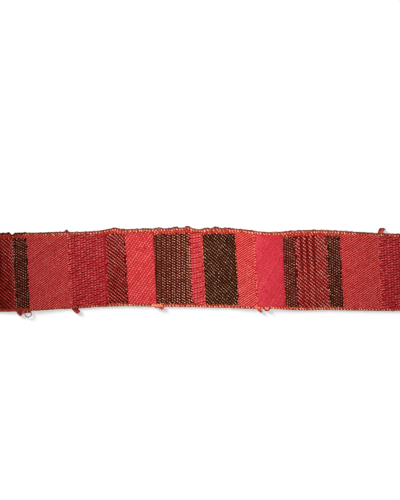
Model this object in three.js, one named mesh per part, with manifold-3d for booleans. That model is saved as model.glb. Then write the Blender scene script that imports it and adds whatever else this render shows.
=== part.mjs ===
// A cut length of jacquard ribbon, lying flat and face up.
// Sizes are in millimetres: +X runs along the ribbon, +Y across it to its far edge, and +Z up.
// The origin is on the surface that the ribbon lies on, below the middle of its box.

import * as THREE from 'three';
import { mergeVertices } from 'three/addons/utils/BufferGeometryUtils.js';
import Module from 'manifold-3d';

const CUT_LENGTH = 240;
const CLOTH_THICKNESS = 1;

// The weave's crossing threads lean: their near ends lie further along the ribbon.
const WEFT_LEAN = 0.048;
const MIDDLE_Y = 1.2;

// One repeat of the weave, from its first dotted block. Each block runs along the ribbon,
// and its floats stand a little above the flattest weave.
const REPEAT_START = -90.3;
const REPEAT = [
  { weave: 'dotted', run: 6.3, rise: 0 },
  { weave: 'fine twill', run: 19.2, rise: 0.08 },
  { weave: 'basket', run: 19.2, rise: 0.16 },
  { weave: 'streaked', run: 9.9, rise: 0.1 },
  { weave: 'coarse twill', run: 13.6, rise: 0.14 },
  { weave: 'dotted', run: 17.7, rise: 0 },
  { weave: 'basket', run: 6.1, rise: 0.16 },
  { weave: 'dotted', run: 16, rise: 0 },
  { weave: 'fine twill', run: 9.4, rise: 0.08 },
  { weave: 'satin', run: 13.2, rise: 0.12 },
  { weave: 'dotted', run: 6.3, rise: 0 },
  { weave: 'streaked', run: 15.5, rise: 0.1 },
];
const STEP_BETWEEN_WEAVES = 0.4;

// The two edges, which bow gently and step in and out where the weave changes.
const OUTLINE = [
  { at: -122, upper: 18.5, lower: -18.9 },
  { at: -108, upper: 18.7, lower: -19.5 },
  { at: -97, upper: 18.7, lower: -19.6 },
  { at: -87.5, upper: 18.9, lower: -19.4 },
  { at: -78.5, upper: 18.9, lower: -19 },
  { at: -68, upper: 19.2, lower: -18.3 },
  { at: -58, upper: 19.3, lower: -17.9 },
  { at: -49.5, upper: 19.8, lower: -17.3 },
  { at: -41, upper: 21, lower: -17 },
  { at: -36, upper: 20.6, lower: -16.8 },
  { at: -30, upper: 20.75, lower: -16.95 },
  { at: -25, upper: 20.9, lower: -17.05 },
  { at: -22.5, upper: 20.8, lower: -17.1 },
  { at: -19.5, upper: 21.15, lower: -17.1 },
  { at: -16.5, upper: 20.9, lower: -17.15 },
  { at: -12, upper: 21.1, lower: -17.2 },
  { at: -5.5, upper: 21.3, lower: -17.3 },
  { at: -2, upper: 20.7, lower: -17.3 },
  { at: 0.5, upper: 20.55, lower: -17.4 },
  { at: 3, upper: 20.85, lower: -17.5 },
  { at: 14.5, upper: 20.95, lower: -17.7 },
  { at: 22, upper: 20.4, lower: -18.1 },
  { at: 30, upper: 19.3, lower: -18.2 },
  { at: 37, upper: 19.2, lower: -18.2 },
  { at: 43.5, upper: 19.7, lower: -18.7 },
  { at: 49.5, upper: 20.1, lower: -18.9 },
  { at: 61, upper: 20.1, lower: -18.7 },
  { at: 76.5, upper: 19.2, lower: -19 },
  { at: 92, upper: 18.4, lower: -19.2 },
  { at: 109, upper: 18.3, lower: -18.8 },
  { at: 122, upper: 18.6, lower: -18.7 },
];

// Small turns of thread that stand out of the upper edge, and the nick that one pulled in.
const EDGE_TURNS = [
  { at: -91.1, half: 1.2, out: -1.1 },
  { at: -41.2, half: 2.2, out: 0.25 },
  { at: -11.6, half: 2.4, out: 0.3 },
  { at: -5.6, half: 2.2, out: 0.4 },
  { at: 3.2, half: 1.6, out: 0.2 },
  { at: 7.8, half: 2.2, out: 0.3 },
  { at: 13.1, half: 2, out: 0.25 },
];

// Where an edge curls up off the surface. The middle of the cloth stays down everywhere.
const CURLS = [
  { edge: 'upper', at: -91, half: 16, height: 0.5 },
  { edge: 'lower', at: -84, half: 20, height: 0.5 },
  { edge: 'upper', at: -8, half: 20, height: 0.3 },
  { edge: 'lower', at: 30, half: 22, height: 0.4 },
  { edge: 'upper', at: 88, half: 18, height: 0.6 },
];
const FLAT_MIDDLE = 0.4;

// Across the cloth, from either edge inwards: the woven edge is round, then a low ridge.
const EDGE_PROFILE = [
  { inset: 0, thickness: 0.66 },
  { inset: 0.6, thickness: 1.02 },
  { inset: 1.5, thickness: 1.1 },
  { inset: 2.4, thickness: 0.96 },
];
const SELVEDGE_WIDTH = EDGE_PROFILE.at(-1).inset;
const FIELD_ROWS = 4;
const EDGE_BULGE = 0.22;
const COLUMN_PITCH = 2.8;

// Yarn ends that stick out of the edges. reach is how far, and lean is how far along.
const YARN_ENDS = [
  { edge: 'upper', at: -64.7, reach: 1.1, lean: -0.1, root: 1.9, tip: 0.9 },
  { edge: 'upper', at: 87.1, reach: 2.8, lean: 1.1, root: 1.9, tip: 2.2 },
  { edge: 'lower', at: -87.3, reach: 2.5, lean: 0.1, root: 3.4, tip: 0.8 },
  { edge: 'lower', at: -85.4, reach: 0.9, lean: 0.4, root: 4.6, tip: 4 },
  { edge: 'lower', at: -61, reach: 2.6, lean: 1.7, root: 2.7, tip: 1.9 },
  { edge: 'lower', at: -20.8, reach: 1.4, lean: 2.1, root: 2.8, tip: 1.4 },
  { edge: 'lower', at: 27.9, reach: 1.8, lean: 1.7, root: 1.6, tip: 1 },
  { edge: 'lower', at: 32.4, reach: 1.1, lean: 0.2, root: 2.2, tip: 1.7 },
];
const YARN_TUCK = 1.2;
const YARN_BEND = { lean: 0.2, reach: 0.5 };
const YARN_SIDES = 6;
const YARN_STEPS = 5;
const YARN_SECTION = { rootZ: 0.5, rootHalf: 0.42, tipZ: 0.32, tipHalf: 0.28 };

// One fine yarn end turns back on itself and leaves an open loop beside the lower edge.
const YARN_LOOP = { x: -83.2, y: -20.5, z: 0.3, radius: 1.6, yarn: 0.22, sides: 5, steps: 16 };

const wasm = await Module();
wasm.setup();

function toSolid(geometry) {
  geometry.deleteAttribute('normal');
  geometry.deleteAttribute('uv');
  const merged = mergeVertices(geometry);
  return new wasm.Manifold(
    new wasm.Mesh({
      numProp: 3,
      vertProperties: new Float32Array(merged.attributes.position.array),
      triVerts: new Uint32Array(merged.index.array),
    })
  );
}

function toGeometry(solid) {
  const mesh = solid.getMesh();
  const geometry = new THREE.BufferGeometry();
  geometry.setAttribute('position', new THREE.BufferAttribute(mesh.vertProperties, 3));
  geometry.setIndex(new THREE.BufferAttribute(mesh.triVerts, 1));
  geometry.computeVertexNormals();
  return geometry;
}

// A smooth hump: 1 at its middle, 0 from its half width on.
function hump(distance, half) {
  return Math.abs(distance) < half ? 0.5 + 0.5 * Math.cos((Math.PI * distance) / half) : 0;
}

const outlineCurve = new THREE.CubicInterpolant(
  OUTLINE.map((row) => row.at),
  OUTLINE.flatMap((row) => [row.upper, row.lower]),
  2
);

function edgesAt(x) {
  const [upper, lower] = outlineCurve.evaluate(x);
  const turns = EDGE_TURNS.reduce((sum, turn) => sum + turn.out * hump(x - turn.at, turn.half), 0);
  return { upper: upper + turns, lower };
}

// Every block on the cut length, with its start and end along the middle of the ribbon.
function blocksOnRibbon() {
  const repeatLength = REPEAT.reduce((sum, block) => sum + block.run, 0);
  const blocks = [];
  for (let start = REPEAT_START - repeatLength; start < CUT_LENGTH / 2; start += repeatLength) {
    let from = start;
    for (const { run, rise } of REPEAT) {
      blocks.push({ from, to: from + run, rise });
      from += run;
    }
  }
  return blocks.filter(({ from, to }) => to > -CUT_LENGTH / 2 && from < CUT_LENGTH / 2);
}

const blocks = blocksOnRibbon();

// How far the floats of the weave at x stand above the flattest weave.
function riseAt(x) {
  return blocks.find(({ to }) => x < to)?.rise ?? 0;
}

// Columns of points along the ribbon, with a close pair at each change of weave.
function columnPositions() {
  const half = STEP_BETWEEN_WEAVES / 2;
  const ends = blocks.slice(1).flatMap(({ from }) => [from - half, from + half]);
  const marks = [-CUT_LENGTH / 2, ...ends, CUT_LENGTH / 2];
  const columns = [marks[0]];
  for (let i = 1; i < marks.length; i += 1) {
    const gap = marks[i] - marks[i - 1];
    const parts = Math.max(1, Math.round(gap / COLUMN_PITCH));
    for (let k = 1; k <= parts; k += 1) {
      columns.push(marks[i - 1] + (gap * k) / parts);
    }
  }
  return columns;
}

// Rows of points across the ribbon: how far in from which edge, and the thickness there.
// share runs from 0 at the lower edge to 1 at the upper one.
function rowProfile() {
  const lowerRows = EDGE_PROFILE.map((row) => ({ ...row, share: 0 }));
  const upperRows = EDGE_PROFILE.map((row) => ({ ...row, inset: -row.inset, share: 1 }));
  const field = [];
  for (let k = 1; k < FIELD_ROWS; k += 1) {
    const share = k / FIELD_ROWS;
    field.push({ inset: SELVEDGE_WIDTH * (1 - 2 * share), thickness: CLOTH_THICKNESS, share });
  }
  return [...lowerRows, ...field, ...upperRows.reverse()];
}

// The underside's height. across runs from -1 at the lower edge to 1 at the upper one.
function curlAt(x, across) {
  const rise = Math.max(0, (Math.abs(across) - FLAT_MIDDLE) / (1 - FLAT_MIDDLE)) ** 2;
  const side = across > 0 ? 'upper' : 'lower';
  const height = CURLS.filter(({ edge }) => edge === side).reduce(
    (sum, curl) => sum + curl.height * hump(x - curl.at, curl.half),
    0
  );
  return height * rise;
}

// The point of the cloth in one column and row. level runs from 0 on the underside to 1 on the
// face, and bulge pushes the middle of the woven edge outwards.
function clothPoint(middleX, row, level, bulge) {
  const { clamp, lerp } = THREE.MathUtils;
  const { upper, lower } = edgesAt(middleX);
  const y = lerp(lower, upper, row.share) + row.inset + bulge;
  const x = middleX - WEFT_LEAN * (y - MIDDLE_Y);
  const inField = clamp(Math.min(y - lower, upper - y) / SELVEDGE_WIDTH, 0, 1);
  const thickness = row.thickness + riseAt(middleX) * inField;
  const across = clamp((2 * (y - lower)) / (upper - lower) - 1, -1, 1);
  return { x, y, z: curlAt(middleX, across) + level * thickness };
}

// The cloth: a thin unit box of columns, rows and two levels, whose points are then moved.
function clothGeometry() {
  const columns = columnPositions();
  const rows = rowProfile();
  const lastColumn = columns.length - 1;
  const lastRow = rows.length - 1;
  const geometry = new THREE.BoxGeometry(1, 1, 1, lastColumn, lastRow, 2);
  const position = geometry.attributes.position;
  const unit = new THREE.Vector3();
  const corner = new THREE.Vector3(0.5, 0.5, 0.5);
  for (let i = 0; i < position.count; i += 1) {
    unit.fromBufferAttribute(position, i).add(corner);
    const column = Math.round(unit.x * lastColumn);
    const row = Math.round(unit.y * lastRow);
    const outward = { [0]: -1, [lastRow]: 1 }[row] ?? 0;
    const bulge = unit.z === 0.5 ? outward * EDGE_BULGE : 0;
    const { x, y, z } = clothPoint(columns[column], rows[row], unit.z, bulge);
    position.setXYZ(i, x, y, z);
  }
  return geometry;
}

// One yarn end: a tapered flat rod that is bent from inside the cloth out to its tip.
function yarnEndGeometry({ edge, at, reach, lean, root, tip }) {
  const side = edge === 'upper' ? 1 : -1;
  const { rootZ, rootHalf, tipZ, tipHalf } = YARN_SECTION;
  const edgeY = edgesAt(at)[edge];
  const lift = curlAt(at, side);
  const route = new THREE.QuadraticBezierCurve3(
    new THREE.Vector3(at, edgeY - side * YARN_TUCK, rootZ + lift),
    new THREE.Vector3(at + lean * YARN_BEND.lean, edgeY + side * reach * YARN_BEND.reach, rootZ + lift / 2),
    new THREE.Vector3(at + lean, edgeY + side * reach, tipZ)
  );
  const geometry = new THREE.CylinderGeometry(tip / 2, root / 2, 1, YARN_SIDES, YARN_STEPS);
  const position = geometry.attributes.position;
  const point = new THREE.Vector3();
  for (let i = 0; i < position.count; i += 1) {
    point.fromBufferAttribute(position, i);
    const along = THREE.MathUtils.clamp(point.y + 0.5, 0, 1);
    const radius = THREE.MathUtils.lerp(root, tip, along) / 2;
    const half = THREE.MathUtils.lerp(rootHalf, tipHalf, along);
    const centre = route.getPoint(along);
    const heading = route.getTangent(along).setZ(0).normalize();
    position.setXYZ(
      i,
      centre.x + heading.y * point.x,
      centre.y - heading.x * point.x,
      centre.z + (point.z / radius) * half
    );
  }
  return geometry;
}

function yarnLoopGeometry() {
  const { x, y, z, radius, yarn, sides, steps } = YARN_LOOP;
  return new THREE.TorusGeometry(radius, yarn, sides, steps).translate(x, y, z);
}

function ribbonMesh() {
  const ends = YARN_ENDS.map((row) => toSolid(yarnEndGeometry(row)));
  const pieces = [toSolid(clothGeometry()), ...ends, toSolid(yarnLoopGeometry())];
  const solid = pieces.reduce((sum, piece) => sum.add(piece));
  const material = new THREE.MeshStandardMaterial({ color: 0xa63a38, roughness: 0.85, metalness: 0 });
  const mesh = new THREE.Mesh(toGeometry(solid), material);
  mesh.name = 'ribbon';
  return mesh;
}

const part = new THREE.Group();
part.add(ribbonMesh());

export default part;
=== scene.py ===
# %% [markdown]
# # A cut length of jacquard ribbon
# The ribbon is one narrow cloth. Its pattern is not printed: the loom lifts different warp
# threads in each stretch, so every colour block is also another weave. The model is built the
# same way. A thin base cloth carries the ground colours, and the threads that float over it
# are small raised stitches, laid on a lattice of their own for every weave.

import math

import bpy
import numpy as np
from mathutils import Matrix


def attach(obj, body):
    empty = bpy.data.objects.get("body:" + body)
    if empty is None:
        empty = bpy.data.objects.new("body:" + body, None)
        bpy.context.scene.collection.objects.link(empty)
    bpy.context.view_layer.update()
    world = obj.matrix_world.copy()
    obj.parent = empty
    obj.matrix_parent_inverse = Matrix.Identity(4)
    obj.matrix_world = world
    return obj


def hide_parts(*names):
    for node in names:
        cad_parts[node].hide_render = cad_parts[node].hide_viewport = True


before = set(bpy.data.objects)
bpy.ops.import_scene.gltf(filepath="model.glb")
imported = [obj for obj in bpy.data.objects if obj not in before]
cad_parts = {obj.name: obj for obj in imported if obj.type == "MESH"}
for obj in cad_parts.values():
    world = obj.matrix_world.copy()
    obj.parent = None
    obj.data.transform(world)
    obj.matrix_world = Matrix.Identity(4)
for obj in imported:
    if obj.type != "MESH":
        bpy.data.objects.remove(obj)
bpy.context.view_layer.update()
MM = 0.001

# %% [markdown]
# ## The plan of the ribbon
# Every stitch has to follow the ribbon's edges, which bow a little and step in and out where
# the weave changes. So there is one map from cloth to space. s runs along the ribbon and t
# across it, both in millimetres from the middle, and the map bends them to the real outline.
# Tables with a row for each bend keep that outline editable.

# %% The outline
CUT_LENGTH = 240
NOMINAL_HALF = 19
WEFT_LEAN = 0.048
MIDDLE_Y = 1.2
OUTLINE = np.array(
    [
        (-122, 18.5, -18.9),
        (-108, 18.7, -19.5),
        (-97, 18.7, -19.6),
        (-87.5, 18.9, -19.4),
        (-78.5, 18.9, -19),
        (-68, 19.2, -18.3),
        (-58, 19.3, -17.9),
        (-49.5, 19.8, -17.3),
        (-41, 21, -17),
        (-36, 20.6, -16.8),
        (-30, 20.75, -16.95),
        (-25, 20.9, -17.05),
        (-22.5, 20.8, -17.1),
        (-19.5, 21.15, -17.1),
        (-16.5, 20.9, -17.15),
        (-12, 21.1, -17.2),
        (-5.5, 21.3, -17.3),
        (-2, 20.7, -17.3),
        (0.5, 20.55, -17.4),
        (3, 20.85, -17.5),
        (14.5, 20.95, -17.7),
        (22, 20.4, -18.1),
        (30, 19.3, -18.2),
        (37, 19.2, -18.2),
        (43.5, 19.7, -18.7),
        (49.5, 20.1, -18.9),
        (61, 20.1, -18.7),
        (76.5, 19.2, -19),
        (92, 18.4, -19.2),
        (109, 18.3, -18.8),
        (122, 18.6, -18.7),
    ],
    dtype=[("at", float), ("upper", float), ("lower", float)],
)
EDGE_TURNS = np.array(
    [
        (-91.1, 1.2, -1.1),
        (-41.2, 2.2, 0.25),
        (-11.6, 2.4, 0.3),
        (-5.6, 2.2, 0.4),
        (3.2, 1.6, 0.2),
        (7.8, 2.2, 0.3),
        (13.1, 2, 0.25),
    ],
    dtype=[("at", float), ("half", float), ("out", float)],
)
print("cut length, mm:", CUT_LENGTH, "rows of the outline:", len(OUTLINE))

# %% [markdown]
# Each small turn of the upper edge and each place where an edge lifts off the table is one soft
# hump, so one function serves both. The rest of the outline is a smooth curve through the rows
# of its table. All of it works on arrays, because thousands of stitches ask for it at once.

# %% The edges and how they lift
CURLS = {
    1: [
        dict(at=-91, half=16, height=0.5),
        dict(at=-8, half=20, height=0.3),
        dict(at=88, half=18, height=0.6),
    ],
    -1: [
        dict(at=-84, half=20, height=0.5),
        dict(at=30, half=22, height=0.4),
    ],
}
FLAT_MIDDLE = 0.4


def hump(distance, half):
    """1 at its middle, 0 from its half width on."""
    return np.where(np.abs(distance) < half, 0.5 + 0.5 * np.cos(np.pi * distance / half), 0)


def smooth(at, value, s):
    """The value at s on a smooth curve through the rows of a table."""
    slope = np.gradient(value, at)
    i = np.clip(np.searchsorted(at, s) - 1, 0, len(at) - 2)
    gap = at[i + 1] - at[i]
    p = (s - at[i]) / gap
    start = value[i] * (1 + 2 * p) * (1 - p) ** 2 + slope[i] * gap * p * (1 - p) ** 2
    end = value[i + 1] * p**2 * (3 - 2 * p) + slope[i + 1] * gap * p**2 * (p - 1)
    return start + end


def edge_y(side, x):
    """The y of the upper (side 1) or lower (side -1) edge at x."""
    if side < 0:
        return smooth(OUTLINE["at"], OUTLINE["lower"], x)
    upper = smooth(OUTLINE["at"], OUTLINE["upper"], x)
    for at, half, out in EDGE_TURNS:
        upper = upper + out * hump(x - at, half)
    return upper


def edges(s):
    """The y of both ends of the weft at s. Wefts lean, so each end has an x of its own."""
    upper = edge_y(1, s - WEFT_LEAN * (NOMINAL_HALF - MIDDLE_Y))
    return upper, edge_y(-1, s + WEFT_LEAN * (NOMINAL_HALF + MIDDLE_Y))


def curl(s, across):
    """How far the underside lifts. across runs from -1 at the lower edge to 1 at the upper one."""
    share = np.clip((np.abs(across) - FLAT_MIDDLE) / (1 - FLAT_MIDDLE), 0, 1) ** 2
    height = 0
    for side, curls in CURLS.items():
        lift = sum(row["height"] * hump(s - row["at"], row["half"]) for row in curls)
        height = height + np.where(across * side > 0, lift, 0)
    return height * share


print("width at the middle, mm:", round(float(np.subtract(*edges(np.array(0.0)))), 1))

# %% [markdown]
# The base cloth is thinner than the solid, because the floats stand on it. Its woven edge is
# round, with a low ridge just inside, so the thickness is a short table too.

# %% From cloth to space
EDGE_PROFILE = np.array(
    [(0, 0.34), (0.35, 0.7), (0.8, 0.84), (1.6, 0.88), (2.6, 0.8)],
    dtype=[("inset", float), ("thickness", float)],
)


def on_cloth(s, t, rise=0.0, level=1.0):
    """Places in metres. level is 0 on the underside and 1 on the face; rise is above the face."""
    upper, lower = edges(s)
    half = (upper - lower) / 2
    across = np.clip(t / NOMINAL_HALF, -1, 1)
    y = (upper + lower) / 2 + t / NOMINAL_HALF * half
    x = s - WEFT_LEAN * (y - MIDDLE_Y)
    inset = half * (1 - np.abs(across))
    thickness = np.interp(inset, EDGE_PROFILE["inset"], EDGE_PROFILE["thickness"])
    z = curl(s, across) + level * thickness + rise
    return np.stack(np.broadcast_arrays(x, y, z), axis=-1) * MM


print("middle of the face, mm:", on_cloth(np.array(0.0), np.array(0.0)) / MM)

# %% [markdown]
# ## Camera
# The ribbon is seen from straight above. Through a long lens from far away, a stitch at its end
# shows as little of its side as one in its middle.

# %% Camera
PICTURE_TALL = 242.7
LENS = 120
SENSOR = 36
PICTURE_CENTRE = (0, 10.4)

camera_height = PICTURE_TALL * LENS / SENSOR
bpy.ops.object.camera_add(location=[value * MM for value in (*PICTURE_CENTRE, camera_height)])
camera = bpy.context.object
camera.data.lens = LENS
camera.data.sensor_width = SENSOR
bpy.context.scene.camera = camera
bpy.context.scene.view_settings.view_transform = "Standard"
print("camera height, m:", round(camera.location.z, 3))

# %% [markdown]
# ## Light
# One softbox from the far left gives the stitches their shape. A round soft spot on the ribbon
# makes its middle brighter than its ends. The table has a lamp of its own, low and wide, for
# the soft shadow along the ribbon's near edge. Each lamp lights one collection only, so the
# tones of the ribbon and the white of the table can be set one at a time.

# %% Lights
lit_ribbon = bpy.data.collections.new("lit ribbon")
lit_table = bpy.data.collections.new("lit table")
AIM = (14, 18)


def light(name, kind, place, share, lights_only=None, **settings):
    """Adds a light that gives a white surface below it this share of full white."""
    bpy.ops.object.light_add(type=kind, location=place)
    lamp = bpy.context.object
    lamp.name = name
    towards = np.array(place) - np.array([AIM[0] * MM, AIM[1] * MM, 0])
    distance = np.linalg.norm(towards)
    heading = math.atan2(towards[1], towards[0]) + math.pi / 2
    lamp.rotation_euler = (math.acos(towards[2] / distance), 0, heading)
    spread = math.pi**2
    if kind == "SPOT":
        spread = 4 * math.pi**2
    lamp.data.energy = share * spread * distance**2 * distance / towards[2]
    lamp.visible_camera = False
    for key, value in settings.items():
        setattr(lamp.data, key, value)
    if lights_only is not None:
        lamp.light_linking.receiver_collection = lights_only
    return lamp


POOL_RADIUS = 92
SPOT_HEIGHT = 1.1
light("softbox", "AREA", (-0.45, 0.5, 0.75), 0.56, lit_ribbon, size=0.3)
light(
    "pool of light", "SPOT", (-0.08, 0.14, SPOT_HEIGHT), 1.75, lit_ribbon,
    spot_size=2 * math.atan(POOL_RADIUS * MM / SPOT_HEIGHT),
    spot_blend=1,
    shadow_soft_size=0.08,
)
light("table lamp", "AREA", (-3.3, 3.0, 1.55), 0.47, lit_table, size=1.8)
world = bpy.data.worlds.new("studio")
bpy.context.scene.world = world
world.use_nodes = True
sky = world.node_tree.nodes["Background"].inputs
sky["Color"].default_value = (1, 1, 1, 1)
sky["Strength"].default_value = 0.12

# %% [markdown]
# ## Shader maths
# The finishes are worked out with arithmetic on numbers that vary over the surface. A small
# class wraps a node's socket, so that `1 - mask * 0.5` adds the Math nodes it stands for.


# %% A socket with arithmetic
class Varying:
    """A node's output, with arithmetic that adds Math nodes."""

    def __init__(self, finish, socket):
        self.finish = finish
        self.socket = socket

    def math(self, operation, *values):
        return self.finish.node("ShaderNodeMath", dict(operation=operation), *values)

    def __add__(self, other):
        return self.math("ADD", self, other)

    def __sub__(self, other):
        return self.math("SUBTRACT", self, other)

    def __rsub__(self, other):
        return self.math("SUBTRACT", other, self)

    def __mul__(self, other):
        return self.math("MULTIPLY", self, other)

    __radd__ = __add__
    __rmul__ = __mul__

    def fraction(self):
        return self.math("FRACT", self)

    def wave(self):
        """0 to 1 and back, once for each whole number."""
        return 0.5 + 0.5 * self.math("COSINE", self * math.tau)


# %% [markdown]
# A finish is one material with a Principled shader. Its `node` method adds any node that isn't
# arithmetic, and the short methods after it add the kinds that cloth and yarn need often.


# %% A finish
class Finish:
    """A material with a Principled shader, built up from nodes."""

    def __init__(self, name, **constants):
        self.material = bpy.data.materials.new(name)
        self.material.use_nodes = True
        self.tree = self.material.node_tree
        self.shader = self.tree.nodes["Principled BSDF"]
        for socket, value in constants.items():
            self.shader.inputs[socket.replace("_", " ")].default_value = value

    def node(self, kind, settings, *values, out=0, **named):
        """Adds one node: its settings first, then its sockets' values or links."""
        made = self.tree.nodes.new(kind)
        for key, value in settings.items():
            if key == "stops":
                self.set_stops(made.color_ramp, value)
            elif key == "steps":
                made.color_ramp.interpolation = value
            else:
                setattr(made, key, value)
        for key, value in [*enumerate(values), *named.items()]:
            name = key.replace("_", " ") if isinstance(key, str) else key
            self.feed(made.inputs[name], value)
        return Varying(self, made.outputs[out])

    @staticmethod
    def set_stops(ramp, stops):
        while len(ramp.elements) < len(stops):
            ramp.elements.new(1)
        for element, (position, colour) in zip(ramp.elements, stops):
            element.position = position
            element.color = (*colour, 1)

    def feed(self, socket, value):
        if isinstance(value, Varying):
            self.tree.links.new(value.socket, socket)
        elif isinstance(value, tuple) and len(value) == 3 and socket.type == "RGBA":
            socket.default_value = (*value, 1)
        else:
            socket.default_value = value

    def ramp(self, value, stops, steps="LINEAR"):
        """A colour that changes with value, through stops of (position, colour)."""
        return self.node("ShaderNodeValToRGB", dict(stops=stops, steps=steps), value)

    def blend(self, share, first, second, way="MIX"):
        """A colour from first to second, or of first changed by second in another way."""
        mix = self.node("ShaderNodeMix", dict(data_type="RGBA", blend_type=way), out=2)
        sockets = mix.socket.node.inputs
        for place, value in zip((0, 6, 7), (share, first, second)):
            self.feed(sockets[place], value)
        return mix

    def attribute(self, name):
        return self.node("ShaderNodeAttribute", dict(attribute_name=name), out="Fac")

    def uv(self, name):
        """The two numbers of a UV map."""
        vector = self.node("ShaderNodeUVMap", dict(uv_map=name))
        parts = self.node("ShaderNodeSeparateXYZ", {}, vector)
        return parts, Varying(self, parts.socket.node.outputs["Y"])

    def noise(self, size):
        """Soft patches about this many metres across."""
        place = self.node("ShaderNodeTexCoord", {}, out="Object")
        return self.node("ShaderNodeTexNoise", {}, Vector=place, Scale=1 / size, Detail=2.0)

    def finish(self, colour, roughness, height=None, depth=0.0):
        self.feed(self.shader.inputs["Base Color"], colour)
        self.feed(self.shader.inputs["Roughness"], roughness)
        if height is not None:
            bump = self.node("ShaderNodeBump", {}, Height=height, Distance=depth, Strength=1.0)
            self.feed(self.shader.inputs["Normal"], bump)
        return self.material


def srgb(red, green, blue):
    """A colour as seen on a screen, 0 to 255, in the linear numbers of a shader."""
    channels = [value / 255 for value in (red, green, blue)]
    return tuple(c / 12.92 if c <= 0.04045 else ((c + 0.055) / 1.055) ** 2.4 for c in channels)


# %% [markdown]
# ## The weave blocks
# One repeat of the pattern is six inches long and has twelve blocks. Each row gives the weave,
# how far it runs along the ribbon, and the colour of the ground between its floats. The
# ground is the thread that lies deepest there. Its colour is darker than the floats, partly its
# own dye and partly painted shade in the gaps between them.

# %% One repeat
REPEAT_START = -90.3
REPEAT = [
    dict(weave="dotted", run=6.3, ground=(32, 16, 5), painted_shade_across=0.06),
    dict(weave="fine twill", run=19.2, ground=(140, 20, 24), lift=0.05),
    dict(weave="basket", run=19.2, ground=(150, 28, 34), painted_shade_across=0.04),
    dict(weave="streaked", run=9.9, ground=(62, 8, 5), painted_shade_across=0.12),
    dict(weave="coarse twill", run=13.6, ground=(186, 44, 48)),
    dict(weave="wide dotted", run=17.7, ground=(56, 12, 5), fade=0.16),
    dict(weave="close basket", run=6.1, ground=(176, 46, 50)),
    dict(weave="dark twill", run=16.0, ground=(26, 9, 1), fade=-0.1),
    dict(weave="fine twill", run=9.4, ground=(150, 26, 28), lift=0.08, painted_shade_across=-0.06),
    dict(weave="satin", run=13.2, ground=(190, 38, 52), fade=-0.08),
    dict(weave="dotted", run=6.3, ground=(62, 12, 6)),
    dict(weave="streaked", run=15.5, ground=(80, 8, 6), bands=0.9, lift=0.11, painted_shade_across=0.08),
]
REPEAT_LENGTH = sum(block["run"] for block in REPEAT)
SLIPS = [dict(at=-63, half=25, along=1.7), dict(at=-90, half=12, along=0.4)]


def slipped(s):
    """How far the pattern has moved along at s, where the loom packed its wefts less closely."""
    return sum(slip["along"] * hump(s - slip["at"], slip["half"]) for slip in SLIPS)


def in_pattern(s):
    """The place in the woven pattern at s."""
    return s - slipped(s)


def blocks_on_ribbon():
    """Each block on the cut length, with its start and end along the middle."""
    half = CUT_LENGTH / 2
    s = np.linspace(-half, half, 2001)
    pattern = in_pattern(s)
    start = REPEAT_START - REPEAT_LENGTH
    while start < half:
        for block in REPEAT:
            end = start + block["run"]
            if end > -half and start < half:
                yield dict(block, start=np.interp(start, pattern, s), end=np.interp(end, pattern, s))
            start = end


BLOCKS = list(blocks_on_ribbon())
print("repeat, mm:", round(REPEAT_LENGTH, 1), "blocks on the ribbon:", len(BLOCKS))


# %% [markdown]
# ## The base cloth
# A sheet this flat needs no simulation. It is a grid, made thick by Solidify, whose points are
# then moved to the map of the cloth. Rows of points lie closer at the edges, where the section
# is round.

# %% Model the base cloth
STEPS_ALONG = 300
STEPS_ACROSS = 48


def only(piece):
    """Makes this object the only one that operators act on."""
    bpy.ops.object.select_all(action="DESELECT")
    piece.select_set(True)
    bpy.context.view_layer.objects.active = piece


def points_of(piece):
    places = np.empty(len(piece.data.vertices) * 3)
    piece.data.vertices.foreach_get("co", places)
    return places.reshape(-1, 3)


bpy.ops.object.select_all(action="DESELECT")
bpy.ops.mesh.primitive_grid_add(x_subdivisions=STEPS_ALONG, y_subdivisions=STEPS_ACROSS, size=2)
cloth = bpy.context.object
cloth.name = "ribbon_cloth"
flat = points_of(cloth)[:, :2]
solidify = cloth.modifiers.new("thickness", "SOLIDIFY")
solidify.thickness = 0.1
solidify.offset = -1
only(cloth)
bpy.ops.object.modifier_apply(modifier="thickness")

closer_at_edges = 0.5 * np.sin(flat[:, 1] * math.pi / 2) + 0.5 * flat[:, 1]
cloth_s = np.tile(flat[:, 0] * CUT_LENGTH / 2, 2)
cloth_t = np.tile(closer_at_edges * NOMINAL_HALF, 2)
cloth_level = np.repeat([1.0, 0.0], len(flat))
cloth.data.vertices.foreach_set("co", on_cloth(cloth_s, cloth_t, 0, cloth_level).ravel())
cloth.data.update()
only(cloth)
bpy.ops.object.shade_smooth_by_angle(angle=math.radians(50))
print("base cloth:", len(cloth.data.polygons), "faces")

# %% [markdown]
# Its colours change with the distance along the ribbon, so it has a UV map with that distance
# in repeats and the place across in widths. A second map stacks the long strip in short rows,
# with the face beside the underside, which wastes less of a square picture when it is baked.

# %% Lay out the base cloth
BAKE_ROWS = 3
BAKE_GAP = 1
row_length = CUT_LENGTH / BAKE_ROWS

corner_point = np.empty(len(cloth.data.loops), dtype=int)
cloth.data.loops.foreach_get("vertex_index", corner_point)
face_size = np.empty(len(cloth.data.polygons), dtype=int)
cloth.data.polygons.foreach_get("loop_total", face_size)
corner_face = np.repeat(np.arange(len(face_size)), face_size)


def of_face(value):
    """The mean of a value over each face, for each of the face's corners."""
    return (np.bincount(corner_face, value[corner_point]) / face_size)[corner_face]


row = np.clip((of_face(cloth_s) + CUT_LENGTH / 2) // row_length, 0, BAKE_ROWS - 1)
lower_half = of_face(cloth_level) < 0.75
on_rim = (of_face(cloth_level) > 0.25) & lower_half
x_in_row = cloth_s[corner_point] + CUT_LENGTH / 2 - row * row_length
y_in_row = cloth_t[corner_point] + NOMINAL_HALF + on_rim * (cloth_level[corner_point] - 0.5)
bake_x = x_in_row + lower_half * (row_length + 2 * BAKE_GAP) + BAKE_GAP
bake_y = y_in_row + row * (2 * NOMINAL_HALF + 2 * BAKE_GAP) + BAKE_GAP


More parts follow.
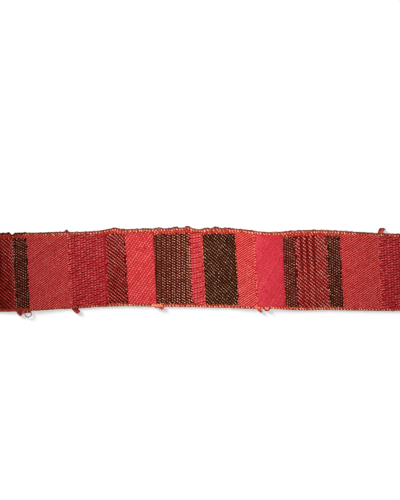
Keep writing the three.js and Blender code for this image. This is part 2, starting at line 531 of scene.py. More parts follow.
def add_uv(piece, name, u, v):
    layer = piece.data.uv_layers.get(name) or piece.data.uv_layers.new(name=name)
    layer.data.foreach_set("uv", np.stack([u, v], axis=1).astype(np.float32).ravel())


cloth.data.uv_layers[0].name = "cloth"
repeats = (in_pattern(cloth_s) - REPEAT_START) / REPEAT_LENGTH + 1
add_uv(cloth, "cloth", repeats[corner_point], (cloth_t / NOMINAL_HALF / 2 + 0.5)[corner_point])
side = 2 * row_length + 6 * BAKE_GAP
add_uv(cloth, "OFBake", bake_x / side, bake_y / side)
cloth.data.attributes.new("back", "FLOAT", "POINT").data.foreach_set("value", 1 - cloth_level)
print("bake layout, mm a side:", side, "rows end at", round(float(bake_y.max()), 1))

# %% [markdown]
# The ground colour of each block comes from one ramp over the repeat, with steps and no
# blending, because a loom changes weave from one pick to the next. The cloth's own threads
# cross in a fine plain weave, which is bump, and the colour is painted darker in the same
# pattern, as painted shade of the weave. The underside shows the other side of every
# block as long loose warps, so it has streaks along the ribbon instead of blocks.

# %% Finish the base cloth
WARP_PITCH = 0.45
WEFT_PITCH = 0.52
UPPER_SELVEDGE = 2.7
LOWER_SELVEDGE = 1.4
BACK_STREAKS = [
    (0.3, srgb(46, 14, 8)),
    (0.5, srgb(140, 40, 36)),
    (0.62, srgb(178, 92, 60)),
    (0.75, srgb(96, 26, 22)),
]

base = Finish("base_cloth", Specular_IOR_Level=0.05)
along, across = base.uv("cloth")
wobble = (base.noise(0.0012) - 0.5) * (0.7 / REPEAT_LENGTH)
ends = np.cumsum([0] + [block["run"] for block in REPEAT[:-1]]) / REPEAT_LENGTH
ground_stops = [(end, srgb(*block["ground"])) for end, block in zip(ends, REPEAT)]
ground = base.ramp((along + wobble).fraction(), ground_stops, "CONSTANT")
width = 2 * NOMINAL_HALF
in_selvedge = base.ramp(
    across,
    [(0, (1, 1, 1)), (LOWER_SELVEDGE / width, (0, 0, 0)), (1 - UPPER_SELVEDGE / width, (1, 1, 1))],
    "CONSTANT",
)
ground = base.blend(in_selvedge, ground, srgb(150, 44, 30))
crossing = (along * (REPEAT_LENGTH / WEFT_PITCH)).wave() * (across * (width / WARP_PITCH)).wave()
# Painted shade: the colour is darker in the pattern of the thread crossings.
ground = base.blend(crossing * 0.45, ground, srgb(60, 10, 8), "MULTIPLY")
strand = base.node(
    "ShaderNodeCombineXYZ", {}, along * (REPEAT_LENGTH * 0.25), across * (width / WARP_PITCH), 0.0
)
streak = base.node("ShaderNodeTexNoise", {}, Vector=strand, Scale=1.0, Detail=3.0)
back_colour = base.ramp(streak, BACK_STREAKS)
colour = base.blend(base.attribute("back"), ground, back_colour)
cloth.data.materials.append(base.finish(colour, 0.8 - 0.15 * crossing, crossing, 0.12 * MM))
print("ground colours:", len(ground_stops))

# %% [markdown]
# ## One float
# A float is a thread that comes up out of the cloth, passes over a few others and dives again.
# A sphere with few faces, drawn out and flattened below, has that shape. More than ten thousand
# of them lie on the ribbon, so this one has only two dozen faces.

# %% Model one float
FLOAT_SIDES = 6
FLOAT_RINGS = 4

bpy.ops.object.select_all(action="DESELECT")
bpy.ops.mesh.primitive_uv_sphere_add(segments=FLOAT_SIDES, ring_count=FLOAT_RINGS, radius=0.5)
grain = bpy.context.object
bpy.ops.object.mode_set(mode="EDIT")
bpy.ops.mesh.select_all(action="SELECT")
bpy.ops.transform.rotate(value=math.pi / 2, orient_axis="Y", center_override=(0, 0, 0))
bpy.ops.object.mode_set(mode="OBJECT")
FLOAT_POINTS = points_of(grain)
FLOAT_POINTS[:, 2] = np.where(FLOAT_POINTS[:, 2] < 0, FLOAT_POINTS[:, 2] * 0.3, FLOAT_POINTS[:, 2])
FLOAT_FACES = [list(face.vertices) for face in grain.data.polygons]
FLOAT_UV = np.empty(len(grain.data.loops) * 2)
grain.data.uv_layers[0].data.foreach_get("uv", FLOAT_UV)
FLOAT_UV = FLOAT_UV.reshape(-1, 2)
# How high each point of a float stands, 0 to 1. It is used to paint the top of a float lighter and
# its low sides darker, as painted light and shade.
FLOAT_CREST = np.clip(FLOAT_POINTS[:, 2] / FLOAT_POINTS[:, 2].max(), 0, 1)
bpy.data.objects.remove(grain)
print("one float:", len(FLOAT_POINTS), "points,", len(FLOAT_FACES), "faces")

# %% [markdown]
# ## Yarns
# The loom draws on a few dyed yarns. Each finish runs from the yarn's shaded colour to its
# lit one, and every float has a number, its tone, that picks a place on that run. The twist
# of the yarn is bump along the float, and its grooves are also painted darker, as painted
# shade. Dyed silk has a soft gloss.

# %% Finish the yarns
YARNS = {
    "coral": [(112, 7, 8), (213, 46, 46), (255, 128, 122)],
    "crimson": [(98, 4, 10), (198, 43, 48), (250, 122, 118)],
    "rose": [(98, 4, 14), (188, 46, 58), (240, 114, 124)],
    "salmon": [(100, 16, 13), (188, 55, 50), (232, 134, 125)],
    "madder": [(96, 4, 9), (197, 50, 56), (250, 128, 128)],
    "scarlet": [(60, 2, 0), (176, 26, 20), (236, 90, 70)],
    "brown": [(28, 3, 0), (92, 26, 10), (150, 70, 48)],
    "gold": [(60, 26, 8), (178, 114, 84), (250, 214, 178)],
    "blush": [(88, 22, 14), (188, 92, 78), (244, 188, 166)],
    "stitch": [(114, 32, 20), (216, 95, 68), (254, 186, 146)],
    "umber": [(48, 14, 10), (104, 52, 42), (152, 100, 84)],
    "plum": [(46, 8, 14), (98, 24, 34), (160, 56, 60)],
    "maroon": [(52, 10, 14), (148, 42, 40), (214, 104, 92)],
    "dusty": [(84, 64, 62), (136, 108, 108), (196, 170, 172)],
}
TWISTS = 3


def yarn_finish(name, colours):
    yarn = Finish(name + "_yarn", Specular_IOR_Level=0.2, Specular_Tint=(*srgb(*colours[2]), 1))
    around, length = yarn.uv("yarn")
    twist = (around + length * TWISTS).wave()
    shade = yarn.ramp(
        yarn.attribute("tone") + (yarn.noise(0.0006) - 0.5) * 0.25,
        [(0, srgb(*colours[0])), (0.5, srgb(*colours[1])), (1, srgb(*colours[2]))],
    )
    # Painted shade: the grooves of the twist are darker.
    colour = yarn.blend(0.22 - 0.22 * twist, shade, (0.25, 0.2, 0.2), "MULTIPLY")
    return yarn.finish(colour, 0.5 - 0.1 * twist, twist, 0.04 * MM)


yarns = {name: yarn_finish(name, colours) for name, colours in YARNS.items()}
print("yarns:", *yarns)

# %% [markdown]
# ## Laying the floats
# In every weave the floats sit at the points of a slanted lattice: evenly along slanted lines,
# with each line shifted against the one before. So a layer of floats needs only the angle of
# its lines, the spacing between them, the pitch along them and that shift, plus the size of
# one float. The maths on arrays lays them all at once, and joins them in a single mesh.


# %% A lattice
rng = np.random.default_rng(38)


def lattice(start, end, step, line, place=(0, 0)):
    """Cloth places of the lattice points from start to end, and the number of each one's line."""
    corner = np.array([step, line]).T @ np.array(place)
    reach = int((end - start + 4 * NOMINAL_HALF) / min(np.hypot(*step), np.hypot(*line)))
    i, j = np.mgrid[-reach:reach + 1, -reach:reach + 1].reshape(2, -1, 1)
    points = i * np.array(step) + j * np.array(line) + corner
    s = (start + end) / 2 + points[:, 0] + WEFT_LEAN * points[:, 1]
    return s, points[:, 1], j[:, 0]


def smooth_patches(s, t, size):
    """Soft waves of about this size in millimetres, between about -1 and 1."""
    total = np.zeros_like(s)
    for _ in range(6):
        turn = rng.uniform(0, math.tau)
        wave = math.tau / (size * rng.uniform(0.7, 1.6))
        total += np.sin(wave * (s * math.cos(turn) + t * math.sin(turn)) + rng.uniform(0, math.tau))
    return total / 3


print("points of a lattice of 1 mm over 10 mm:", len(lattice(0, 10, (1, 0), (0, 1))[0]))

# %% [markdown]
# Thousands of copies made one at a time would be slow, so the points of all the copies are
# worked out at once. Each point takes the map of the cloth, so a float bends with the ribbon
# under it. Every float also gets a place of its own in a second map, OFBake, meant for baking.


# %% Many floats as one piece
FLOAT_CORNERS = np.concatenate(FLOAT_FACES)
FLOAT_FACE_SIZES = [len(face) for face in FLOAT_FACES]
FLOAT_LAYOUT = FLOAT_UV * 0.9 + 0.05


def join_floats(name, yarn, floats):
    """One piece of many floats. floats has arrays with the place, size and tone of each."""
    s, t, long, wide, high, turn, tone, painted_crest, level = (
        floats[key][:, None]
        for key in ("s", "t", "long", "wide", "high", "turn", "tone", "painted_crest", "level")
    )
    slant = np.radians(turn)
    dx, dy = FLOAT_POINTS[:, 0] * long, FLOAT_POINTS[:, 1] * wide
    ds, dt = dx * np.cos(slant) - dy * np.sin(slant), dx * np.sin(slant) + dy * np.cos(slant)
    points = on_cloth(s + ds + WEFT_LEAN * dt, t + dt, FLOAT_POINTS[:, 2] * high, level)
    count = len(points)
    first = np.arange(count)[:, None] * len(FLOAT_POINTS)
    mesh = bpy.data.meshes.new(name)
    corners = (FLOAT_CORNERS + first).ravel()
    sizes = np.tile(FLOAT_FACE_SIZES, count)
    mesh.vertices.add(points.shape[0] * points.shape[1])
    mesh.vertices.foreach_set("co", points.ravel())
    mesh.loops.add(len(corners))
    mesh.loops.foreach_set("vertex_index", corners)
    mesh.polygons.add(len(sizes))
    mesh.polygons.foreach_set("loop_start", np.concatenate([[0], np.cumsum(sizes)[:-1]]))
    mesh.polygons.foreach_set("use_smooth", np.ones(len(sizes), dtype=bool))
    mesh.update(calc_edges=True)
    mesh.validate()
    piece = bpy.data.objects.new(name, mesh)
    bpy.context.collection.objects.link(piece)
    add_uv(piece, "yarn", *np.tile(FLOAT_UV, (count, 1)).T)
    cells = math.ceil(math.sqrt(count))
    cell = np.stack([np.arange(count) % cells, np.arange(count) // cells], axis=1)[:, None]
    layout = ((FLOAT_LAYOUT + cell) / cells).reshape(-1, 2)
    add_uv(piece, "OFBake", *layout.T)
    # Painted light and shade: each float's tone is raised on its top and lowered where it dives into
    # the cloth.
    tones = np.clip(tone + painted_crest * (FLOAT_CREST - 0.5), 0, 1)
    mesh.attributes.new("tone", "FLOAT", "POINT").data.foreach_set("value", tones.ravel())
    mesh.materials.append(yarns[yarn])
    return piece


# %% [markdown]
# ## The weaves
# Each weave has a lattice and one or more layers of floats on it. step is the way from a float
# to the next one on its line and line the way to the next line, both as (along, across) in
# millimetres. places moves a layer by shares of the two, once for each place, and turn is the
# slant of its threads.

# %% The weaves
LATTICES = {
    "fine twill": dict(step=(0.66, 0.455), line=(-0.03, 1.055)),
    "coarse twill": dict(step=(0.62, 0.85), line=(-0.08, 2.10)),
    "streaked": dict(step=(0.76, -0.64), line=(-0.07, 1.73)),
    "basket": dict(step=(2.80, 1.456), line=(-0.09, 2.43)),
    "close basket": dict(step=(1.33, 0.45), line=(-0.08, 2.43)),
    "wide dotted": dict(step=(2.37, 0.0), line=(0.0, 1.255)),
    "dotted": dict(step=(1.08, -0.48), line=(0.0, 1.23)),
    "dark twill": dict(step=(0.72, -0.65), line=(-0.08, 1.70)),
    "satin": dict(step=(0.6, 1.05), line=(-0.565, 0.27)),
}
LAYERS = {
    "fine twill": [
        dict(
            yarn="coral", long=0.92, wide=0.54, high=0.38, turn=32,
            tone=0.54, spread=0.05, streak=0.03,
        ),
    ],
    "coarse twill": [
        dict(
            yarn="crimson", long=0.86, wide=1.0, high=0.3, turn=36,
            tone=0.6, spread=0.1, streak=0.03,
        ),
    ],
    "streaked": [
        dict(
            yarn="salmon", long=1.0, wide=0.78, high=0.5, turn=-40,
            tone=0.52, spread=0.11, streak=0.03, painted_crest=0.4,
        ),
        dict(
            yarn="scarlet", long=1.1, wide=0.3, high=0.16, turn=-40,
            tone=0.05, spread=0.05, places=[(0, 0.5)],
        ),
    ],
    "basket": [
        dict(
            yarn="madder", long=1.4, wide=0.7, high=0.36, turn=26,
            tone=0.52, spread=0.1, painted_crest=0.3,
            places=[(0.08, 0.27), (0.08, 0.74), (0.57, 0.146), (0.57, 0.616)],
        ),
        dict(
            yarn="scarlet", long=0.84, wide=0.78, high=0.5, turn=26,
            tone=0.08, spread=0.08, painted_crest=0.1, places=[(0, 0), (0.49, -0.124)],
        ),
    ],
    "close basket": [
        dict(
            yarn="madder", long=1.4, wide=0.7, high=0.34, turn=24,
            tone=0.54, spread=0.1, painted_crest=0.3, places=[(0.2, 0.27), (0.2, 0.74)],
        ),
        dict(
            yarn="scarlet", long=0.8, wide=0.72, high=0.48, turn=24,
            tone=0.1, spread=0.08, painted_crest=0.1,
        ),
    ],
    "wide dotted": [
        dict(
            yarn="gold", long=0.56, wide=0.4, high=0.62, turn=-28,
            tone=0.62, spread=0.24, fade=0.36, kept=0.9, places=[(0, 0), (0.4135, -0.36)],
        ),
        dict(
            yarn="blush", long=1.2, wide=0.48, high=0.42, turn=-26,
            tone=0.22, spread=0.08, places=[(0, 0), (0.4135, -0.36)],
        ),
        dict(
            yarn="brown", long=0.9, wide=0.5, high=0.28, turn=-10,
            tone=0.36, spread=0.2, places=[(0.2, 0.32), (0.7, 0.14)],
        ),
    ],
    "dotted": [
        dict(
            yarn="blush", long=0.54, wide=0.4, high=0.6, turn=-28,
            tone=0.6, spread=0.24, kept=0.8,
        ),
        dict(
            yarn="blush", long=1.0, wide=0.5, high=0.42, turn=-28,
            tone=0.14, spread=0.08, painted_crest=0.3,
        ),
        dict(
            yarn="brown", long=0.8, wide=0.46, high=0.3, turn=-20,
            tone=0.36, spread=0.2, places=[(0.5, 0.5)],
        ),
    ],
    "dark twill": [
        dict(
            yarn="gold", long=0.9, wide=0.46, high=0.42, turn=-42,
            tone=0.13, spread=0.08, streak=0.05, painted_crest=0.4,
        ),
        dict(
            yarn="gold", long=0.5, wide=0.4, high=0.6, turn=-42,
            tone=0.5, spread=0.35, kept=0.6,
        ),
        dict(
            yarn="brown", long=1.0, wide=0.36, high=0.2, turn=-42,
            tone=0.1, spread=0.1, places=[(0.5, 0.5)],
        ),
    ],
    "satin": [
        dict(
            yarn="rose", long=1.7, wide=0.8, high=0.14, turn=58,
            tone=0.46, spread=0.03, streak=0.035, painted_crest=0.12,
        ),
    ],
}
print("weaves:", *LATTICES)

# %% [markdown]
# No block has one even colour. It gets lighter or darker along the ribbon, and it is painted
# lighter or darker towards its upper edge as painted shade. One has three dark bands across,
# and the ribbon is painted darker towards its left end, and more so towards the lower edge
# there, as painted shade where the light falls off. A block's end isn't a ruled line either,
# because the loom beats each pick in a little more or less.

# %% Shade and ends of a block
BANDS = (3.0, 5.9, 9.0)
BAND_HALF = 0.85
# Painted shade: the weave is darker towards the left end, where the light falls off.
PAINTED_END_SHADE = [(-120, -0.22), (-92, -0.2), (-90, 0), (120, 0)]


def block_shade(block, s, t):
    """How much lighter or darker than its weave a block is at s and t, painted shade included."""
    share = (s - block["start"]) / (block["end"] - block["start"]) - 0.5
    up = t / NOMINAL_HALF
    # Painted shade across the block: lighter or darker towards its upper edge.
    shade = block.get("lift", 0) + block.get("fade", 0) * share + block.get("painted_shade_across", 0) * up
    band = sum(hump(s - block["start"] - at, BAND_HALF) for at in BANDS)
    # Painted shade at the left end, stronger towards the lower edge.
    shade = shade + np.interp(s, *zip(*PAINTED_END_SHADE)) * (1 - 0.4 * up)
    return shade - block.get("bands", 0) * band * np.clip(0.6 + up, 0.25, 1)


def drift(t, at):
    """How far the end of a block at this place wanders along the ribbon at t."""
    return 0.22 * np.sin(0.8 * t + at) + 0.14 * np.sin(2.1 * t + 3 * at)


wander = np.ptp(drift(np.linspace(-NOMINAL_HALF, NOMINAL_HALF, 99), REPEAT_START))
print("the end at the start of the repeat wanders over, mm:", round(float(wander), 2))

# %% [markdown]
# A layer lies on every block of its weave, a little in from the block's ends and from the
# selvedges. No two floats are quite alike: each is moved, turned and sized a little by chance,
# and their tones drift in soft patches, as dye takes unevenly.

# %% The floats of a layer
# How strongly a float is painted lighter on its top and darker at its low sides: painted light and
# shade.
PAINTED_CREST = 0.5
DARK = ("wide dotted", "dotted", "dark twill", "streaked")
WEAVE_INSET = dict(upper=1.5, lower=1.0)
DARK_INSET = dict(upper=2.9, lower=1.6)
INSET_CHANGE = 0.2
BLOCK_INSET = 0.25
CUT_INSET = 0.6
PATCH_SIZE = 7
PLACE_CHANGE = 0.025
TURN_CHANGE = 4


def layer_floats(weave, layer, place):
    """The floats of one layer, moved to this place, on every block of this weave."""
    places = []
    inset = DARK_INSET if weave in DARK else WEAVE_INSET
    for block in BLOCKS:
        if block["weave"] == weave:
            s, t, line = lattice(block["start"], block["end"], place=place, **LATTICES[weave])
            start, end = (block[key] + drift(t, block[key]) for key in ("start", "end"))
            inside = (s > start + BLOCK_INSET) & (s < end - BLOCK_INSET)
            inside &= abs(s) < CUT_LENGTH / 2 - CUT_INSET
            ragged = t + INSET_CHANGE * rng.normal(size=len(t))
            inside &= (ragged < NOMINAL_HALF - inset["upper"]) & (t > inset["lower"] - NOMINAL_HALF)
            inside &= rng.random(len(s)) < layer.get("kept", 1)
            streaks = rng.normal(size=np.ptp(line) + 1)[line - line.min()]
            shade = block_shade(block, s, t) + layer.get("streak", 0) * streaks
            shade = shade + layer.get("fade", 0) * ((s - start) / (end - start) - 0.5)
            places.append((s[inside], t[inside], shade[inside]))
    s, t, shade = np.concatenate(places, axis=1)
    count = len(s)
    tone = layer["spread"] * (rng.normal(size=count) * 0.7 + smooth_patches(s, t, PATCH_SIZE) * 0.5)
    return dict(
        s=s + rng.normal(size=count) * PLACE_CHANGE,
        t=t + rng.normal(size=count) * PLACE_CHANGE,
        long=layer["long"] * rng.uniform(0.92, 1.08, count),
        wide=layer["wide"] * rng.uniform(0.92, 1.08, count),
        high=layer["high"] * rng.uniform(0.85, 1.15, count),
        turn=layer["turn"] + rng.normal(size=count) * TURN_CHANGE,
        tone=layer["tone"] + shade + tone,
        painted_crest=layer.get("painted_crest", PAINTED_CREST),
        level=1.0,
    )


# %% [markdown]
# The layers of one weave that share a yarn become one piece, so there are few pieces and each
# has one finish. The selvedges and the columns of stitches are laid by the same function.

# %% Lay every weave
pieces = []


def triangles(piece):
    return sum(len(face.vertices) - 2 for face in piece.data.polygons)


def lay(name, yarn, layers):
    """Lays these layers as one piece of this yarn, and keeps it with the others."""
    floats = {
        key: np.concatenate([np.broadcast_to(part[key], len(part["s"])) for part in layers])
        for key in layers[0]
    }
    piece = join_floats(name, yarn, floats)
    pieces.append(piece)
    print(name, len(floats["s"]), "floats,", triangles(piece), "triangles")


for weave, layers_of_weave in LAYERS.items():
    by_yarn = {}
    for layer in layers_of_weave:
        for place in layer.get("places", [(0, 0)]):
            by_yarn.setdefault(layer["yarn"], []).append(layer_floats(weave, layer, place))
    for yarn, layers in by_yarn.items():
        lay(f"{weave.replace(' ', '_')}_{yarn}", yarn, layers)

# %% [markdown]
# ## The selvedges
# Along both edges the weft turns back round the outermost warps. It shows as a row of short
# slanted stitches of orange silk, close together, with a dark yarn of the back peeping out
# beyond the upper ones. That dark yarn, and a wider brown row at the left end, stand partly
# for the yarn of the back and partly as painted shade on the rounded upper edge. Over the dark
# blocks a second, redder row lies inside the first. A few knuckles of plum yarn stand on the
# upper edge where a weft was let out.

# %% Rows of stitches
SELVEDGE_ROWS = {
    "upper_selvedge_stitch": [
        dict(side=1, inset=1.1, long=1.15, wide=0.72, high=0.5, turn=-52, tone=0.6, spread=0.2),
    ],
    "upper_selvedge_coral": [
        dict(
            side=1, inset=2.0, long=1.1, wide=0.74, high=0.42, turn=-48,
            tone=0.5, spread=0.2, dark_only=True,
        ),
        dict(
            side=1, inset=2.75, long=0.8, wide=0.56, high=0.36, turn=-40,
            tone=0.44, spread=0.35, dark_only=True,
        ),
    ],
    # Partly painted shade: a dark row on the upper edge at the left end.
    "upper_selvedge_brown": [
        dict(
            side=1, inset=0.55, long=1.9, wide=0.95, high=0.9, turn=0,
            tone=0.3, spread=0.1, until=-84,
        ),
    ],
    # Partly painted shade: the dark line of the rounded upper edge.
    "upper_selvedge_umber": [
        dict(
            side=1, inset=0.3, long=1.9, wide=0.8, high=0.36, turn=0,
            tone=0.45, spread=0.2, level=0.9,
        ),
    ],
    "lower_selvedge_stitch": [
        dict(side=-1, inset=0.45, long=1.35, wide=0.66, high=0.5, turn=-58, tone=0.72, spread=0.18),
        dict(
            side=-1, inset=1.35, long=0.95, wide=0.5, high=0.34, turn=-48,
            tone=0.36, spread=0.18, dark_only=True,
        ),
    ],
}
# Painted shade: the selvedge stitches are darker towards both ends of the ribbon, most at the lower
# left, where the light falls off.
PAINTED_EDGE_SHADE = {
    1: [
        (-120, 0.45), (-93, 0.4), (-84, 0.15), (-56, 0.05), (-40, 0),
        (66, 0), (72, 0.05), (120, 0.1),
    ],
    -1: [
        (-120, 0.75), (-92, 0.7), (-88, 0.45), (-82, 0.4), (-64, 0.45),
        (-58, 0.28), (-44, 0.2), (-36, 0), (66, 0), (72, 0.15), (120, 0.2),
    ],
}
PITCHES = [
    (-120, 1.37), (-52, 1.36), (-48, 1.31), (-2, 1.32),
    (2, 1.43), (46, 1.42), (50, 1.36), (120, 1.37),
]
HALF_STEP = 0.7
STITCH_PATCH = 9
CROWDING = 16


def stitch_row(
    side, inset, long, wide, high, turn, tone, spread,
    dark_only=False, until=CUT_LENGTH, level=1.0,
):
    """One row of slanted stitches along an edge. They crowd together here and there."""
    s = [1 - CUT_LENGTH / 2]
    while s[-1] < CUT_LENGTH / 2 - 2:
        s.append(s[-1] + np.interp(s[-1], *zip(*PITCHES)))
    s = np.array(s)
    s = s[s < until]
    if dark_only:
        s = s + HALF_STEP
        dark_blocks = [block for block in BLOCKS if block["weave"] in DARK]
        dark = [(s > block["start"]) & (s < block["end"]) for block in dark_blocks]
        s = s[np.any(dark, axis=0)]
    count = len(s)
    t = np.full(count, side * (NOMINAL_HALF - inset))
    patches = smooth_patches(s, t, STITCH_PATCH)
    # Stitches near the ends are painted darker, as painted shade.
    tone = tone - np.interp(s, *zip(*PAINTED_EDGE_SHADE[side]))
    return dict(
        s=s + rng.normal(size=count) * 0.12 + smooth_patches(s, t, CROWDING) * 0.3,
        t=t + rng.normal(size=count) * 0.08,
        long=long * rng.uniform(0.85, 1.15, count),
        wide=wide * rng.uniform(0.85, 1.15, count),
        high=high * rng.uniform(0.85, 1.15, count),
        turn=turn + rng.normal(size=count) * 9,
        tone=tone + spread * (rng.normal(size=count) * 0.8 + patches * 0.5),
        painted_crest=PAINTED_CREST,
        level=level,
    )


for name, rows in SELVEDGE_ROWS.items():
    lay(name, name.split("_")[-1], [stitch_row(**row) for row in rows])

# %% [markdown]
# A knuckle is the same small shape laid flat on the very edge. The table has the place of each
# one along the ribbon and how far it stands out.

# %% Knuckles of plum yarn
KNUCKLES = [
    (-20.7, 0), (-19.2, 0.05), (-14.1, 0), (-12.7, 0), (-11.5, 0.1), (-10.3, 0.1), (-5.7, 0.15),
    (-4.3, 0.15), (3.1, 0.05), (4.8, 0), (8.2, 0.2), (9.6, 0.1), (15.4, 0),
]
KNUCKLE = dict(long=1.6, wide=0.65, high=0.55, turn=0, tone=0.34, painted_crest=PAINTED_CREST, level=0.9)

knuckle_s, knuckle_out = np.array(KNUCKLES).T
lay("upper_edge_knuckles", "plum", [dict(KNUCKLE, s=knuckle_s, t=NOMINAL_HALF + knuckle_out)])

# %% [markdown]
# ## Stitches between blocks
# Where two weaves meet, the weft has to change its path, and a column of single stitches shows
# there. at is the place in the repeat, and pitch the way from one stitch to the next.

# %% Columns of stitches
COLUMNS = [
    dict(at=25.1, yarn="coral", pitch=1.21, long=0.9, wide=0.5, high=0.4, turn=20, tone=0.5),
    dict(at=25.9, yarn="madder", pitch=1.21, long=1.2, wide=0.7, high=0.36, turn=26, tone=0.42),
    dict(at=44.6, yarn="scarlet", pitch=1.5, long=0.9, wide=0.5, high=0.5, turn=-60, tone=0.2),
    dict(at=85.6, yarn="stitch", pitch=1.22, long=0.8, wide=0.55, high=0.55, turn=-35, tone=0.5),
    dict(at=91.9, yarn="stitch", pitch=1.7, long=0.8, wide=0.6, high=0.5, turn=-60, tone=0.3),
    dict(at=108.0, yarn="stitch", pitch=1.7, long=0.7, wide=0.5, high=0.5, turn=-60, tone=0.25),
    dict(at=117.3, yarn="coral", pitch=1.6, long=0.9, wide=0.6, high=0.5, turn=60, tone=0.9),
    dict(at=152.3, yarn="blush", pitch=1.3, long=0.7, wide=0.5, high=0.5, turn=-45, tone=0.35),
]
LOWER_INSET = 1.9
UPPER_INSET = 2


def column(at, pitch, yarn, tone, **sizes):
    """One column in every repeat that has it on the ribbon, moved with the pattern there."""
    t = np.arange(LOWER_INSET - NOMINAL_HALF, NOMINAL_HALF - UPPER_INSET, pitch)
    starts = REPEAT_START + at + REPEAT_LENGTH * np.arange(-1, 3)
    middles = starts[abs(starts) < CUT_LENGTH / 2 - 1]
    middles = middles + slipped(middles)
    s, t = (value.ravel() for value in np.meshgrid(middles, t))
    return dict(
        sizes,
        tone=tone + 0.16 * rng.normal(size=len(s)),
        s=s + 0.12 * rng.normal(size=len(s)),
        t=t + 0.1 * rng.normal(size=len(s)),
        painted_crest=PAINTED_CREST,
        level=1.0,
    )


by_yarn = {}
for row in COLUMNS:
    by_yarn.setdefault(row["yarn"], []).append(column(**row))
for yarn, layers in by_yarn.items():
    lay(f"block_ends_{yarn}", yarn, layers)

# %% [markdown]
# ## Loose yarn ends
# Where a coloured weft starts or stops, its end stands out of the edge as a small tuft. A tuft
# is a bundle of plies. Each ply is a curve with its own radius at each point, so that it
# thins towards its tip, and the curves are made mesh and joined.

# %% Curves for plies
PLY_SIDES = 6


def ply(points, radii, tones):
    """A ply as a mesh: points and radii in millimetres, and tones at its root and its tip."""
    bpy.ops.object.select_all(action="DESELECT")
    bpy.ops.curve.primitive_bezier_curve_add(radius=1)
    curve = bpy.context.object
    spline = curve.data.splines[0]
    spline.bezier_points.add(len(points) - 2)
    for knot, place, radius in zip(spline.bezier_points, points, radii):
        knot.co = [value * MM for value in place]
        knot.radius = radius
        knot.handle_left_type = "AUTO"
        knot.handle_right_type = "AUTO"
    spline.resolution_u = 4
    curve.data.bevel_depth = MM
    curve.data.bevel_resolution = PLY_SIDES // 2 - 1
    curve.data.use_fill_caps = True
    bpy.ops.object.convert(target="MESH")
    made = bpy.context.object
    places = points_of(made) / MM
    along = np.linalg.norm(places - points[0], axis=1)
    tone = np.interp(along / along.max(), [0.2, 1], tones)
    # Painted light: the higher points of a ply are lighter and the lower ones darker.
    tone = tone + 0.25 * (places[:, 2] - places[:, 2].mean())
    tone_values = made.data.attributes.new("tone", "FLOAT", "POINT").data
    tone_values.foreach_set("value", np.clip(tone, 0, 1))
    return made


def on_edge(side, x, out, along, z):
    """A place beside the edge: out from it, moved along it, at height z, in millimetres."""
    y = float(edge_y(side, np.array(float(x))))
    return np.array([x + along, y + side * out, z])


# %% [markdown]
# Each tuft is a row of a table: its place on the edge, how far inside it starts, how far it
# reaches out, how far it leans along the edge, and its width at the root and at the tip. Chance
# moves every ply a little, so that no tuft looks combed. All of them are of maroon yarn.

# %% Tufts
# tones sets how light the root and the tip are. The first knob's dark tip is painted shade on its
# side away from the light.
TUFTS = [
    dict(side=1, x=-64.6, inner=1.6, reach=1.1, lean=-0.2, root=1.2, tip=0.6, tones=(0.95, 0)),
    dict(side=1, x=87.2, inner=0.6, reach=2.8, lean=1.0, root=1.8, tip=2.5, tones=(0.4, 0.35)),
    dict(
        side=1, x=87.7, inner=0.3, reach=2.0, lean=0.6,
        root=1.2, tip=1.3, tones=(0.75, 0.6), low=0.8,
    ),
    dict(side=-1, x=-87.0, inner=0.8, reach=2.5, lean=-0.1, root=3.0, tip=0.9, tones=(0.3, 0.7)),
    dict(side=-1, x=-85.1, inner=1.1, reach=1.0, lean=0.6, root=5.2, tip=4.2, tones=(0.5, 0.3)),
    dict(side=-1, x=-60.9, inner=0.4, reach=2.6, lean=1.6, root=2.5, tip=1.9, tones=(0.1, 0.75)),
    dict(side=-1, x=-20.1, inner=0.2, reach=1.5, lean=2.0, root=1.6, tip=1.0, tones=(0.6, 0.65)),
    dict(side=-1, x=-20.6, inner=1.0, reach=0.6, lean=2.0, root=3.2, tip=2.2, tones=(0.4, 0.5)),
    dict(side=-1, x=28.3, inner=0.4, reach=1.9, lean=1.5, root=1.1, tip=0.9, tones=(0.5, 0.6)),
]
PLIES = 10
PLY_RADIUS = 0.3
PLY_STEP = 0.42


def tuft(side, x, inner, reach, lean, root, tip, tones, low=0.45):
    """A bundle of plies that leaves the edge, leans along it and ends in rounded tips."""
    parts = []
    for i, share in enumerate(np.linspace(-0.5, 0.5, PLIES)):
        bow = 0.08 * rng.normal()
        end = reach * rng.uniform(0.85, 1.0) * (1 - abs(share) ** 2)
        height = max(low + PLY_STEP * (i % 2) + 0.1 * rng.normal(), 1.3 * PLY_RADIUS)
        tone = 0.18 * rng.normal()
        turns = [
            (-inner, share * root, 0.7),
            (end * 0.3, share * root + lean * 0.3 + bow, height),
            (end * 0.75, share * (root + tip) / 2 + lean * 0.75 + bow, height),
            (end, share * tip + lean, height * 0.85),
        ]
        radii = [PLY_RADIUS, PLY_RADIUS * 1.1, PLY_RADIUS, PLY_RADIUS * 0.6]
        points = [on_edge(side, x, *turn) for turn in turns]
        parts.append(ply(points, radii, [value + tone for value in tones]))
    return parts


maroon_plies = [part for row in TUFTS for part in tuft(**row)]
print("plies in tufts:", len(maroon_plies))

# %% [markdown]
# A few yarns come back to the edge. They are single plies through a few turns, each turn given
# by how far it is out from the edge, along it and above the table.

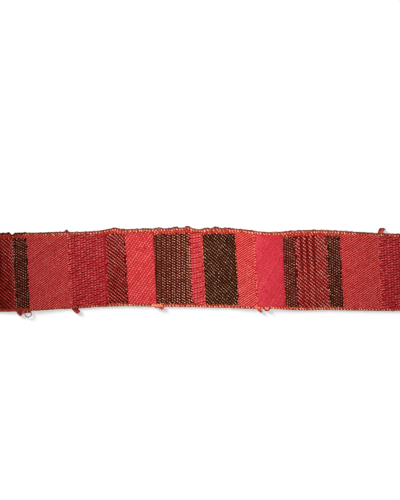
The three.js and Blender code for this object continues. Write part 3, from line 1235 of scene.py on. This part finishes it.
# %% Loops and strands
OPEN_LOOP = [
    (-0.6, -1.9, 0.6), (0.9, -1.7, 0.6), (2.3, -1.2, 0.7), (2.9, 0, 0.8),
    (2.1, 1.4, 0.8), (0.8, 1.4, 0.8), (-0.6, 0.7, 0.7),
]
HOOK = [(2.0, 0, 1.1), (2.4, 0.5, 1.2), (2.2, 1.2, 1.1), (1.6, 1.9, 0.8)]
STRAND = [(-1.2, -0.5, 0.9), (-0.5, 0.2, 1.2), (0.1, 0.9, 1.1), (0.5, 1.5, 0.8)]
STRANDS = [(-22.6, 0.6), (-21.3, 0.7), (-20.1, 0.8), (-18.9, 0.7), (27.0, 0.6), (27.9, 0.5)]


def loop(side, x, radius, tones, turns):
    """A ply through turns of (out, along, height) beside the edge at x."""
    return ply([on_edge(side, x, *turn) for turn in turns], [radius] * len(turns), tones)


def bead_turns(i):
    """The turns of the bead's loops. Each loop is smaller and higher than the one before."""
    return [
        (-0.8, -1.3 + 0.3 * i, 0.7),
        (0.4 - 0.2 * i, -0.9 + 0.3 * i, 0.6 + 0.2 * i),
        (0.7 - 0.3 * i, 0, 0.6 + 0.3 * i),
        (0.1 - 0.1 * i, 0.9 - 0.3 * i, 0.9 + 0.1 * i),
        (-1.0, 0.9 - 0.3 * i, 0.8),
    ]


open_loop = loop(-1, -83.3, 0.22, (0.3, 0.3), OPEN_LOOP)
# Each higher loop of the bead is given a lighter tone: painted light on the top of the bead.
bead = [
    loop(-1, 32.6, 0.42, (0.25 + 0.1 * i, 0.35 + 0.17 * i), bead_turns(i))
    for i in range(3)
]
hook = loop(1, 88.1, 0.22, (0.4, 0.1), HOOK)
strands = [loop(-1, x, 0.32, (tone, tone - 0.3), STRAND) for x, tone in STRANDS]
ends = {
    "maroon": [*maroon_plies, hook, *bead[:2]],
    "dusty": [open_loop],
    "stitch": [*strands, *bead[2:]],
}
print("loops and strands:", 2 + len(bead) + len(strands))

# %% [markdown]
# All the plies of one yarn are joined in one piece, with one finish.


# %% Join the yarn ends
def join(parts, name):
    bpy.ops.object.select_all(action="DESELECT")
    for part in parts:
        part.select_set(True)
    bpy.context.view_layer.objects.active = parts[0]
    bpy.ops.object.join()
    joined = bpy.context.object
    joined.name = name
    return joined


for yarn, parts in ends.items():
    piece = join(parts, f"yarn_ends_{yarn}")
    only(piece)
    bpy.ops.object.shade_smooth()
    piece.data.uv_layers[0].name = "yarn"
    piece.data.materials.clear()
    piece.data.materials.append(yarns[yarn])
    pieces.append(piece)
    print(piece.name, triangles(piece), "triangles")

# %% [markdown]
# ## The table
# The ribbon lies on a white table, a plain sheet of paper much larger than the view. It glows
# a little, so that it stays white while the shadow beside the ribbon stays soft. It lies a hair
# below the ribbon's underside, because two faces in one plane would flicker.

# %% Table
TABLE_SIZE = 3
TABLE_DROP = 0.06
bpy.ops.object.select_all(action="DESELECT")
bpy.ops.mesh.primitive_plane_add(size=TABLE_SIZE, location=(0, 0, -TABLE_DROP * MM))
table = bpy.context.object
table.name = "table"
paper = Finish(
    "white_paper", Specular_IOR_Level=0.2, Emission_Color=(1, 1, 1, 1), Emission_Strength=0.55
)
paper_shade = paper.ramp(paper.noise(0.004), [(0.3, (0.89, 0.89, 0.89)), (0.7, (0.9, 0.9, 0.9))])
table.data.materials.append(paper.finish(paper_shade, 0.9))
lit_table.objects.link(table)
for piece in [cloth, *pieces]:
    lit_ribbon.objects.link(piece)
print("table, m a side:", TABLE_SIZE, "pieces that the ribbon's lamps light:", len(pieces) + 1)

# %% [markdown]
# ## What rides on what
# The cloth stands for the solid ribbon, and everything woven into it goes with it. Its flat
# size is the ribbon's trade width and the cut length.

# %% Hand the pieces over
for piece in [cloth, *pieces]:
    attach(piece, "root")
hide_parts("ribbon")
